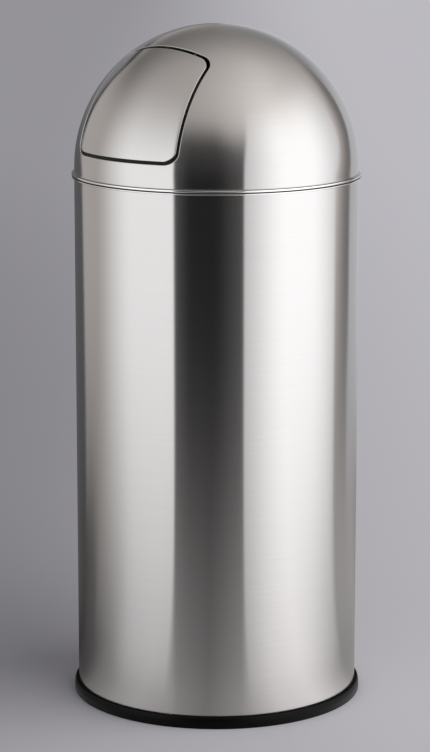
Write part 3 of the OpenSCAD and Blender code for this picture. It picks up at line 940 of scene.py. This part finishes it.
def ear_bush(side, name, node, finish):
    start, end = BUSH_LOW.x, BUSH_HIGH.x
    flange_end = start + BUSH_FLANGE
    section = corners([
        (BORE_R, start, 2 * SHARP), (BUSH_FLANGE_R, start, EDGE),
        (BUSH_FLANGE_R, flange_end, EDGE), (BUSH_R, flange_end, SHARP),
        (BUSH_R, end, EDGE), (BORE_R, end, 2 * SHARP),
    ])
    made = turned_on_hinge(name, section, [side], finish)
    stand_for(made, "flap", "bush_nylon", node)


def spring_path(side):
    """One leg on the dome, a coil round the rod and one leg on the flap."""

    def tip(sideways, elevation):
        reach = sqrt(LEG_LIFT ** 2 - sideways ** 2)
        up = reach * sin(elevation) + DOME_Z - HINGE.z
        return reach * cos(elevation) + HINGE.y, up

    def leaves(point, hand):
        """Direction of the point at which a leg leaves the coil at a tangent."""
        return atan2(point[1], point[0]) + hand * acos(COIL_R / hypot(*point))

    dome_tip, flap_tip = tip(COIL_START, LEG_DOME), tip(COIL_END, LEG_FLAP)
    start = leaves(dome_tip, -1)
    sweep = 2 * pi * COIL_TURNS + start - leaves(flap_tip, 1)
    steps = 32 * COIL_TURNS
    points = [(COIL_START, *dome_tip)]
    for i in range(steps + 1):
        share = i / steps
        turn = start - sweep * share
        points.append((
            COIL_START + (COIL_END - COIL_START) * share,
            COIL_R * cos(turn), COIL_R * sin(turn),
        ))
    points.append((COIL_END, *flap_tip))
    return [(side * s, HINGE.y - forward, HINGE.z + up) for s, forward, up in points]


def flap_spring(side, name, node, finish):
    made = wire_piece(name, spring_path(side), WIRE_R, finish, sides=12)
    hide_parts(node)
    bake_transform(made)


# ---- flap


def flap_panel(finishes):
    """The push flap: a piece of the hemisphere with its edges folded in."""
    surface = Surface()
    section = [(-a, u, -na, nu) for a, u, na, nu in folded_edge(FLAP_EDGE_R)[::-1]]
    surface.loft(section, carried(flap_line), closed=False)
    add_patch(surface, BODY_R, flap_line(-FOLD))
    add_patch(surface, INSIDE_R, flap_line(-SHEET - FOLD_INSIDE), inward=True)
    made = surface.piece(
        "flap", *finishes, inner=lambda p: dist(p, CENTRE) < INSIDE_R + 2 * SHARP
    )
    stand_for(made, "flap", "brushed_steel", "flap_panel")


def flap_seal(finish):
    """The rubber lip on the flap's folded edge. Its two ends stop below the hinge."""
    whole = flap_line(0)
    elevation = np.arctan2(whole[:, 2], -whole[:, 1])
    low = np.flatnonzero(elevation < SEAL_TOP)
    # the outline starts at the top right, so the lip runs from the left side round the foot
    keep = np.arange(low[0], low[-1] + 1)
    groove = SHEET + WELD_GAP
    surface = Surface()
    section = corners([
        (-SHEET - SEAL_INSIDE, SEAL_IN_R, 0.8 * MM),
        (SEAL_REACH, SEAL_IN_R + 2.4 * MM, 0.9 * MM),
        (SEAL_REACH, SEAL_OUT_R, 0.9 * MM), (WELD_GAP, SEAL_OUT_R, 0.5 * MM),
        (WELD_GAP, FLAP_EDGE_R - WELD_GAP, 0.05 * MM),
        (-groove, FLAP_EDGE_R - WELD_GAP, 0.05 * MM), (-groove, SEAL_OUT_R, 0.4 * MM),
        (-SHEET - SEAL_INSIDE, SEAL_OUT_R, 0.8 * MM),
    ])
    surface.loft(section, carried(seal_line, keep), ring=False)
    first = np.arange(len(section)) * len(keep)
    last = first + len(keep) - 1
    surface.faces += [first.tolist(), last[::-1].tolist()]
    stand_for(surface.piece("rubber_lip", finish), "flap", "seal_rubber", "flap_seal")


# ---- liner


def liner_wall(finish):
    """The liner's wall, curled outward round its rim."""
    middle = LINER_IN_R + BRIM_R
    tip = degrees(BRIM_END)
    tip_r = BRIM_R - SHEET / 2
    section = (
        arc(LINER_IN_R + EDGE, LINER_LOW.z + EDGE, EDGE, 180, 270)
        + arc(LINER_R - EDGE, LINER_LOW.z + EDGE, EDGE, 270, 360)
        + arc(middle, BRIM_Z, BRIM_R - SHEET, 180, tip)
        + arc(middle + tip_r * cos(BRIM_END), BRIM_Z + tip_r * sin(BRIM_END),
              SHEET / 2, tip + 180, tip + 360)
        + arc(middle, BRIM_Z, BRIM_R, tip, 180)
    )
    turned_piece("liner_bucket", section, finish, "liner", "galvanised", "liner_wall")


def liner_floor(finish):
    section = pan(LINER_FLOOR_LOW, LINER_FLOOR_HIGH)
    turned_piece("liner_base", section, finish, "liner", "galvanised", "liner_floor", False)


def plate_rivets(finish):
    """Domed heads inside and outside the liner at each rivet."""
    surface = Surface()
    swell = (RIVET_R ** 2 + RIVET_RISE ** 2) / (2 * RIVET_RISE)
    lean = asin((RIVET_R - EDGE) / swell)
    inner_face = LINER_IN_R - PLATE_T - 2 * WELD_GAP
    outer_face = LINER_R + WELD_GAP
    section = corners([
        (0, 0, 0), (RIVET_R, 0, EDGE / 2), (RIVET_R - 0.02 * MM, 2 * EDGE, 0),
    ], closed=False)[:-1] + [
        (swell * sin(a), RIVET_RISE - swell + swell * cos(a), sin(a), cos(a))
        for a in (lean * (1 - k / 5) for k in range(6))
    ]
    steps = [RIVET_STEP * (i - (RIVETS - 1) / 2) for i in range(RIVETS)]
    for angle in [side + step for side in (0, pi) for step in steps]:
        out = np.array((cos(angle), sin(angle), 0))
        round_axis = np.array((-sin(angle), cos(angle), 0))
        for face, way in ((inner_face, -1), (outer_face, 1)):
            origin = out * face + np.array((0, 0, PIVOT.z - RIVET_Z))
            turns = np.array(circle(RIVET_COLUMNS))[:, None] * way

            def track(across, up):
                spoke = np.cos(turns) * round_axis + np.sin(turns) * np.array((0, 0, 1))
                rise = np.tile(way * out, (len(turns), 1))
                return origin + across * spoke + up * rise, spoke, rise

            surface.loft(section, track, closed=False)
    stand_for(surface.piece("rivets", finish), "liner", "bright_rod", "plate_rivets")


def liner_handle(side, body, name, node, finish):
    """A wire handle hanging from its eyes: pins, legs, corners and a straight grip."""
    x = side * PIVOT.x
    pin_end = HANDLE_HIGH.y - CAP_RISE * HANDLE_R
    grip_z = HANDLE_LOW.z + HANDLE_R
    half = [(x, pin_end, PIVOT.z), (x, HANDLE_HALF + PIN_BEND + 0.4 * MM, PIVOT.z)]
    for k in range(9):
        a = pi / 2 * k / 8
        y = HANDLE_HALF + PIN_BEND - PIN_BEND * sin(a)
        half.append((x, y, PIVOT.z - PIN_BEND + PIN_BEND * cos(a)))
    for k in range(13):
        a = pi / 2 * k / 12
        y = HANDLE_HALF - HANDLE_BEND + HANDLE_BEND * cos(a)
        half.append((x, y, grip_z + HANDLE_BEND - HANDLE_BEND * sin(a)))
    path = half + [(x, -y, z) for x, y, z in half[::-1]]
    made = wire_piece(name, path, HANDLE_R, finish, sides=24)
    stand_for(made, body, "handle_wire", node)


# ---- stage and light

STUDIO_R = 1.3  # distance of the light panels
STUDIO_H = 2
STUDIO_COLUMNS = 720
STUDIO_ROWS = 120
STUDIO_RINGS = 40
STUDIO_LIFT = 0.2 * MM  # keeps its floor clear of the real one
FLOOR_R = 60
FLOOR_COLUMNS = 96
WARM = np.array((1.04, 0.97, 0.93))
NEUTRAL = np.array((1, 0.99, 0.995))
COOL = np.array((0.98, 0.98, 1.02))
FLOOR_TINT = np.array((1.02, 0.985, 0.98))
BLACK = np.zeros(3)

# directions in the studio, in degrees: round from the camera, by rise
LEFT_PANEL = (-32.4, -31)  # where the left light panel fades into the gap
RIGHT_EDGE = (  # where the backdrop begins
    (-23.5, -16.5, -10.5, 1, 8, 24, 36, 40), (123, 126, 125.5, 129, 133, 137, 145, 165)
)
LEFT_EDGE = (
    (-23.5, -16.5, -10.5, -4.3, 1.5, 5, 12, 20, 24, 30),
    (126.5, 127.7, 129.3, 130.2, 135.6, 137.5, 139.6, 140.2, 141.8, 145.2),
)
# its low values behind the object on the left hold the object's painted shadow
FLOOR_LEVEL = (  # of the floor close to the object, by turn
    (-180, -125, -100, -88, -75, -57, -44, -5, 16, 35, 56, 68, 80, 90, 98, 135, 180),
    (0.12, 0.07, 0.13, 0.19, 0.26, 0.4, 0.45, 0.25, 0.4, 0.78, 0.95, 0.8, 0.58, 0.46, 0.43,
     0.4, 0.15),
)

SUN_ANGLE = radians(75)
SUN_ENERGY = 1.88
SUN_HEIGHT = radians(36)
SUN_TURN = radians(65)  # round from the camera
SKY = (0.95, 0.95, 1, 1)
SKY_LEVEL = 0.35


def fade(value, start, end):
    """A soft step from 0 at start to 1 at end."""
    t = np.clip((value - start) / (end - start), 0, 1)
    return t * t * (3 - 2 * t)


def lobe(turn, rise, towards, height):
    """A wide soft glow centred on one direction."""
    turn, rise, height = np.radians(turn - towards), np.radians(rise), np.radians(height)
    cosine = np.cos(rise) * np.cos(height) * np.cos(turn) + np.sin(rise) * np.sin(height)
    return ((1 + cosine) / 2) ** 4


def spot(turn, rise, towards, height, width, tall):
    """A soft patch, 1 in its middle, so wide and so tall."""
    return np.exp(-((turn - towards) / width) ** 2 - ((rise - height) / tall) ** 2)


def toward(light, other, share):
    return light + (other - light) * share[..., None]


def tinted(level, colour):
    return level[..., None] * colour


def studio_light(turn, rise):
    """Colour of the studio in each direction, in degrees round from the camera and up."""
    glow = 0.18 + 0.9 * lobe(turn, rise, 70, 30) + 0.3 * lobe(turn, rise, -70, 30)
    glow = glow * (1 - 0.25 * fade(abs(turn), 95, 160) * fade(rise, 85, 55))
    glow = glow * (1 - 0.26 * spot(turn, rise, -130, 40, 26, 15))
    glow = glow * (1 - 0.2 * spot(turn, rise, 98, 48, 34, 14))
    light = tinted(glow, WARM)
    # side walls, the right one darkest beside the backdrop
    right_edge = np.interp(rise, *RIGHT_EDGE)
    left_edge = np.interp(rise, *LEFT_EDGE)
    light = toward(light, 0.5 * WARM, fade(-turn, 60, 90) * fade(rise, 42, 18))
    dark = fade(turn, right_edge - 22, right_edge - 3) * fade(rise, 42, 24)
    light = toward(light, 0.21 * WARM, dark)
    # light panels
    gap = fade(turn, *LEFT_PANEL)
    shown = fade(-turn, 108, 66) * (1 - gap) * fade(rise, 60, 0)
    light = toward(light, 1.22 * NEUTRAL, shown)
    level = (0.74 + 0.82 * fade(turn, 12, 55)) * (1 - 0.45 * fade(turn, 74, 116))
    inner = 19.2 + 6 * fade(rise, 5, 40)
    begun = fade(turn, inner, inner + 1.4)
    outer = np.interp(rise, (-8, 8), (101.5, 111))
    shown = begun * fade(turn, outer + 4, outer) * fade(rise, 52, 20)
    light = toward(light, tinted(level, NEUTRAL), shown)
    # black gap between them
    top = 1 - fade(rise + 7 * fade(turn, -5, 18), 21, 43)
    level = 0.01 + 0.05 * fade(turn, -18, -31) + 0.07 * fade(turn, -2, 21)
    level = level + 0.03 * fade(rise, -5, 10)
    light = toward(light, tinted(level, NEUTRAL), gap * (1 - begun) * top)
    # backdrop behind the object, light on its right and dark on its left
    shown = fade(turn, right_edge, right_edge + 1.5) * fade(rise, 41, 37)
    light = toward(light, tinted(0.58 - 0.3 * fade(rise, 8, 38), COOL), shown)
    top = 30 - 0.25 * np.maximum(-turn - 145, 0)
    shown = fade(-turn, left_edge, left_edge + 1.5) * fade(rise, top + 1, top - 1)
    light = toward(light, tinted(0.11 + 0.15 * fade(rise, -6, 20), COOL), shown)
    # its left one has a black border
    line = np.exp(-((-turn - left_edge + 0.5) / 2.6) ** 2)
    line = line * fade(rise, 0, 7) * fade(rise, 32, 29)
    over = np.exp(-((rise - top) / 2.2) ** 2) * fade(-turn, 142, 146) * fade(-turn, 166, 158)
    return toward(light, BLACK, np.maximum(line, over))


def add_studio():
    """A tent with a floor disc that only reflections see. Its light is stored at its points."""
    rise = np.radians(np.linspace(90, 0, STUDIO_ROWS + 1))
    rings = np.linspace(STUDIO_R, 0, STUDIO_RINGS + 1)[1:-1]
    reach = np.concatenate((STUDIO_R * np.cos(rise), rings))[:, None]
    height = np.concatenate((STUDIO_H * np.sin(rise), 0 * rings))[:, None]
    turn = np.linspace(-180, 180, STUDIO_COLUMNS, endpoint=False)[None, :]
    heading = np.radians(turn) + VIEW_SIDE
    points = np.stack(np.broadcast_arrays(
        reach * np.sin(heading), -reach * np.cos(heading), height + STUDIO_LIFT
    ), axis=-1)
    # the floor is seen as the foot of the tent, and shades towards its own light near the object
    aim = np.degrees(np.arctan2(height - DOME_Z, np.maximum(reach, STUDIO_R * (height <= 0))))
    turn, aim = np.broadcast_arrays(turn, aim)
    strip = fade(turn, -36, -28) * fade(turn, 24, 14) * fade(height, 0, 0.25)
    share = 0.35 * (1 - np.minimum(height, 0.5) / 0.5) ** 2 * (1 - 0.65 * strip)
    share = share + (0.5 * (STUDIO_R - reach) + 0.2 * fade(reach, 0.45, 0.28)) * (height <= 0)
    hurry = 1 + 1.5 * fade(turn, 95, 115) + 0.25 * fade(-turn, 60, 85) + 0.9 * fade(-turn, 100, 118)
    # painted shadow of the object on the reflected floor, close to it and behind it on both sides
    near = (height <= 0) * fade(reach, 0.7, 0.25)
    near = near * (0.22 * fade(turn, 85, 100) + 0.4 * fade(-turn, 80, 100))
    ground = tinted(np.interp(turn, *FLOOR_LEVEL), FLOOR_TINT) * (1 - near[..., None])
    light = toward(studio_light(turn, aim), ground, np.clip(share * hurry, 0, 1))
    mesh = bpy.data.meshes.new("studio")
    mesh.from_pydata(points.reshape(-1, 3), [], quads(*aim.shape))
    levels = mesh.attributes.new("light", "FLOAT_COLOR", "POINT")
    colours = np.concatenate((light, np.ones((*aim.shape, 1))), axis=-1)
    levels.data.foreach_set("color", colours.astype(np.float32).ravel())
    f = Finish("studio_light")
    level = f.node("ShaderNodeAttribute", attribute_name="light").outputs["Color"]
    glow = f.node("ShaderNodeEmission", level).outputs[0]
    f.feed(f.nodes["Material Output"].inputs["Surface"], glow)
    f.material.cycles.emission_sampling = "NONE"
    mesh.materials.append(f.material)
    tent = add_object("studio", mesh)
    for rays in ("camera", "diffuse", "shadow", "transmission", "volume_scatter"):
        setattr(tent, f"visible_{rays}", False)


def add_floor():
    """A plain pale floor with painted light: lighter towards the right of the picture, and darker
    to its left and behind the object under a painted shadow.
    """
    mesh = bpy.data.meshes.new("floor")
    rim = [(FLOOR_R * cos(a), FLOOR_R * sin(a), 0) for a in circle(FLOOR_COLUMNS)]
    mesh.from_pydata(rim, [], [list(range(FLOOR_COLUMNS))])
    f = Finish("floor_paint", Roughness=0.9, Specular_IOR_Level=0)
    x, y = f.axes()[:2]
    cosine, sine = cos(VIEW_SIDE), sin(VIEW_SIDE)
    right = f.math("ADD", f.times(x, cosine), f.times(y, sine))
    behind = f.math("SUBTRACT", f.times(y, cosine), f.times(x, sine))

    def step(value, start, end, low=0, high=1):
        return f.ramp(value, start, end, low, high, interpolation_type="SMOOTHSTEP")

    # painted light: the floor's colour lightens towards the right of the picture, as if lit from
    # that side
    painted_light_falloff = f.tint(step(right, -0.7, 0.7), (0.436, 0.425, 0.447), (0.736, 0.72, 0.75))
    # painted shadow of the object, behind it and to the left of the picture
    painted_shadow = f.times(step(behind, -0.3, 0.45), step(behind, 0.8, 6.5, 1, 0))
    painted_shadow = f.times(painted_shadow, step(right, -0.35, 0.25, 0.25, 0.05))
    mesh.materials.append(f.set(Base_Color=f.tint(painted_shadow, painted_light_falloff, BLACK)))
    add_object("floor", mesh)


def add_lights():
    scene = bpy.context.scene
    scene.view_settings.view_transform = "Standard"
    scene.world = bpy.data.worlds.new("world")
    scene.world.use_nodes = True
    sky = scene.world.node_tree.nodes["Background"]
    sky.inputs["Color"].default_value = SKY
    sky.inputs["Strength"].default_value = SKY_LEVEL
    lamp = add_object("key", bpy.data.lights.new("key", "SUN"))
    lamp.data.angle = SUN_ANGLE
    lamp.data.energy = SUN_ENERGY
    lamp.rotation_euler = (pi / 2 - SUN_HEIGHT, 0, VIEW_SIDE + SUN_TURN)
    lamp.visible_glossy = False


# ---- assembly

add_camera()
add_floor()
add_lights()
add_studio()

STEEL = (brushed_steel(), mill_steel())
ZINC = galvanised()
PLASTIC = foot_plastic()
RUBBER = moulded("seal_rubber", (0.006, 0.006, 0.006), (0.012, 0.012, 0.012), 0.7, 1400, 0.00005)
NYLON = moulded("bush_nylon", (0.72, 0.7, 0.64), (0.8, 0.78, 0.73), 0.42, 700, 0.00003)
BRIGHT = drawn_metal("bright_rod", (0.52, 0.53, 0.54), (0.68, 0.69, 0.7), 0.2, (1800, 60, 60))
SPRING = drawn_metal("spring_steel", (0.2, 0.2, 0.21), (0.36, 0.36, 0.37), 0.3, (500, 500, 500))
WIRE = drawn_metal("handle_wire", (0.46, 0.48, 0.5), (0.62, 0.64, 0.66), 0.26, (300, 90, 300))

body_shell(STEEL)
base_ring(PLASTIC)
base_plate(ZINC)
dome_shell(STEEL)
lid_collar(ZINC)
hinge_rod(BRIGHT)
rod_clips(SPRING)
flap_panel(STEEL)
flap_seal(RUBBER)
liner_wall(ZINC)
liner_floor(ZINC)
plate_rivets(BRIGHT)
for side, hand in ((-1, "left"), (1, "right")):
    ear_bush(side, f"bush_{hand}", f"ear_bush_{hand}", NYLON)
    flap_spring(side, f"spring_{hand}", f"flap_spring_{hand}", SPRING)
    liner_handle(side, f"handle_{hand}", f"handle_{hand}", f"liner_handle_{hand}", WIRE)
    for node in (f"hinge_bracket_{hand}", f"flap_ear_{hand}", f"handle_plate_{hand}"):
        solid = frame["nodes"][node]
        solid.data.materials.clear()
        solid.data.materials.append(ZINC)
